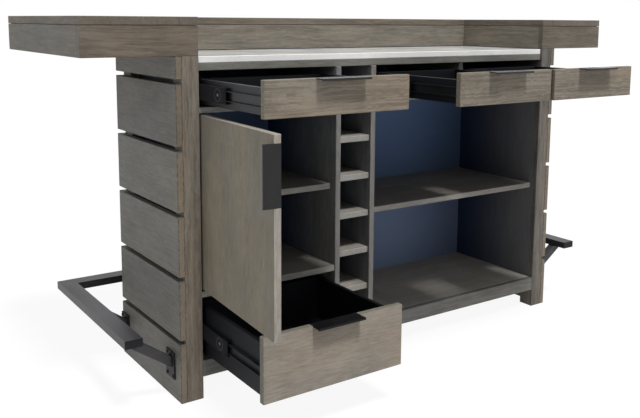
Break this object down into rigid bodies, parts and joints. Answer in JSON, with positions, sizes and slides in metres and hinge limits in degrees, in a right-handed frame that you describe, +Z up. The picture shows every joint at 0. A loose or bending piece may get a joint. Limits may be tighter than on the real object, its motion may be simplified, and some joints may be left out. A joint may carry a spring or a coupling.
{
  "type": "dining bar",
  "caption": "Free-standing dining bar in weathered grey oak: raised U-shaped bar top, pale worktop, sliding drawers, a swinging door, bottle cubbies, open shelves and a foot rail.",
  "frame": {"origin": "floor level, under the middle of the whole bar's box with its drawers and door as pictured", "axes": "+X along the bar to the staff's right, +Y from the staff side to the customer side, +Z up"},
  "size_m": [1.99, 1.121, 1.067],
  "materials": {
    "grey_oak": "brushed matt",
    "front_oak": "brushed matt",
    "interior_oak": "matt",
    "blue_board": "painted matt",
    "raw_board": "matt",
    "white_stone": "honed",
    "black_metal": "satin powder coat",
    "black_board": "painted matt",
    "slide_steel": "black zinc",
    "bright_steel": "satin"
  },
  "bodies": {
    "bar": {"front_posts": "grey_oak", "rear_posts": "grey_oak", "left_end_planks": "grey_oak", "right_end_planks": "grey_oak", "rear_planks": "grey_oak", "left_wing_board": "grey_oak", "right_wing_board": "grey_oak", "rear_bar_board": "grey_oak", "inner_border_strips": "grey_oak", "wing_front_aprons": "grey_oak", "outer_aprons": "grey_oak", "inner_aprons": "grey_oak", "base_rails": "grey_oak", "sub_top": "grey_oak", "side_panels": "interior_oak", "bottom_panel": "interior_oak", "left_divider": "interior_oak", "right_divider": "interior_oak", "drawer_divider": "interior_oak", "drawer_decks": "interior_oak", "drawer_bay_shelf": "interior_oak", "door_bay_shelf": "interior_oak", "wide_shelf": "interior_oak", "bottle_shelves": "interior_oak", "back_panel": "blue_board", "top_bearers": "raw_board", "soffits": "raw_board", "worktop_slab": "white_stone", "foot_rail_left": "black_metal", "foot_rail_right": "black_metal", "foot_rail_rear": "black_metal", "foot_rail_caps": "black_metal", "bracket_plates": "black_metal", "bracket_struts": "black_metal", "bracket_screws": "black_metal", "shelf_pins": "bright_steel", "door_pivots": "bright_steel", "slide_outer_members": "slide_steel"},
    "door": {"door_panel": "front_oak", "door_pull": "black_metal"},
    "left_drawer": {"left_drawer_front": "front_oak", "left_drawer_box": "black_board", "left_drawer_pull": "black_metal", "left_drawer_inner_slides": "slide_steel"},
    "left_drawer_slides": {"left_drawer_intermediate_slides": "slide_steel"},
    "middle_drawer": {"middle_drawer_front": "front_oak", "middle_drawer_box": "black_board", "middle_drawer_pull": "black_metal", "middle_drawer_inner_slides": "slide_steel"},
    "middle_drawer_slides": {"middle_drawer_intermediate_slides": "slide_steel"},
    "right_drawer": {"right_drawer_front": "front_oak", "right_drawer_box": "black_board", "right_drawer_pull": "black_metal", "right_drawer_inner_slides": "slide_steel"},
    "right_drawer_slides": {"right_drawer_intermediate_slides": "slide_steel"},
    "bottom_drawer": {"bottom_drawer_front": "front_oak", "bottom_drawer_box": "black_board", "bottom_drawer_pull": "black_metal", "bottom_drawer_inner_slides": "slide_steel"},
    "bottom_drawer_slides": {"bottom_drawer_intermediate_slides": "slide_steel"}
  },
  "joints": [
    {"name": "door_swing", "type": "hinge", "parent": "bar", "child": "door", "pos_m": [-0.6675, -0.12553, 0.56], "axis": [0, 0, -1], "range_deg": [-93.7, 11.3]},
    {"name": "left_drawer_run", "type": "slide", "parent": "bar", "child": "left_drawer", "axis": [0, -1, 0], "range_m": [-0.33953, 0.03647]},
    {"name": "left_drawer_slides_run", "type": "slide", "parent": "bar", "child": "left_drawer_slides", "axis": [0, -1, 0], "range_m": [-0.16976, 0.01824]},
    {"name": "middle_drawer_run", "type": "slide", "parent": "bar", "child": "middle_drawer", "axis": [0, -1, 0], "range_m": [-0.3681, 0.0079]},
    {"name": "middle_drawer_slides_run", "type": "slide", "parent": "bar", "child": "middle_drawer_slides", "axis": [0, -1, 0], "range_m": [-0.18405, 0.00395]},
    {"name": "right_drawer_run", "type": "slide", "parent": "bar", "child": "right_drawer", "axis": [0, -1, 0], "range_m": [-0.37487, 0.00113]},
    {"name": "right_drawer_slides_run", "type": "slide", "parent": "bar", "child": "right_drawer_slides", "axis": [0, -1, 0], "range_m": [-0.18744, 0.00056]},
    {"name": "bottom_drawer_run", "type": "slide", "parent": "bar", "child": "bottom_drawer", "axis": [0, -1, 0], "range_m": [-0.32862, 0.04738]},
    {"name": "bottom_drawer_slides_run", "type": "slide", "parent": "bar", "child": "bottom_drawer_slides", "axis": [0, -1, 0], "range_m": [-0.16431, 0.02369]}
  ],
  "couplings": [
    {"joint": "left_drawer_slides_run", "follows": "left_drawer_run", "ratio": 0.5},
    {"joint": "middle_drawer_slides_run", "follows": "middle_drawer_run", "ratio": 0.5},
    {"joint": "right_drawer_slides_run", "follows": "right_drawer_run", "ratio": 0.5},
    {"joint": "bottom_drawer_slides_run", "follows": "bottom_drawer_run", "ratio": 0.5}
  ]
}
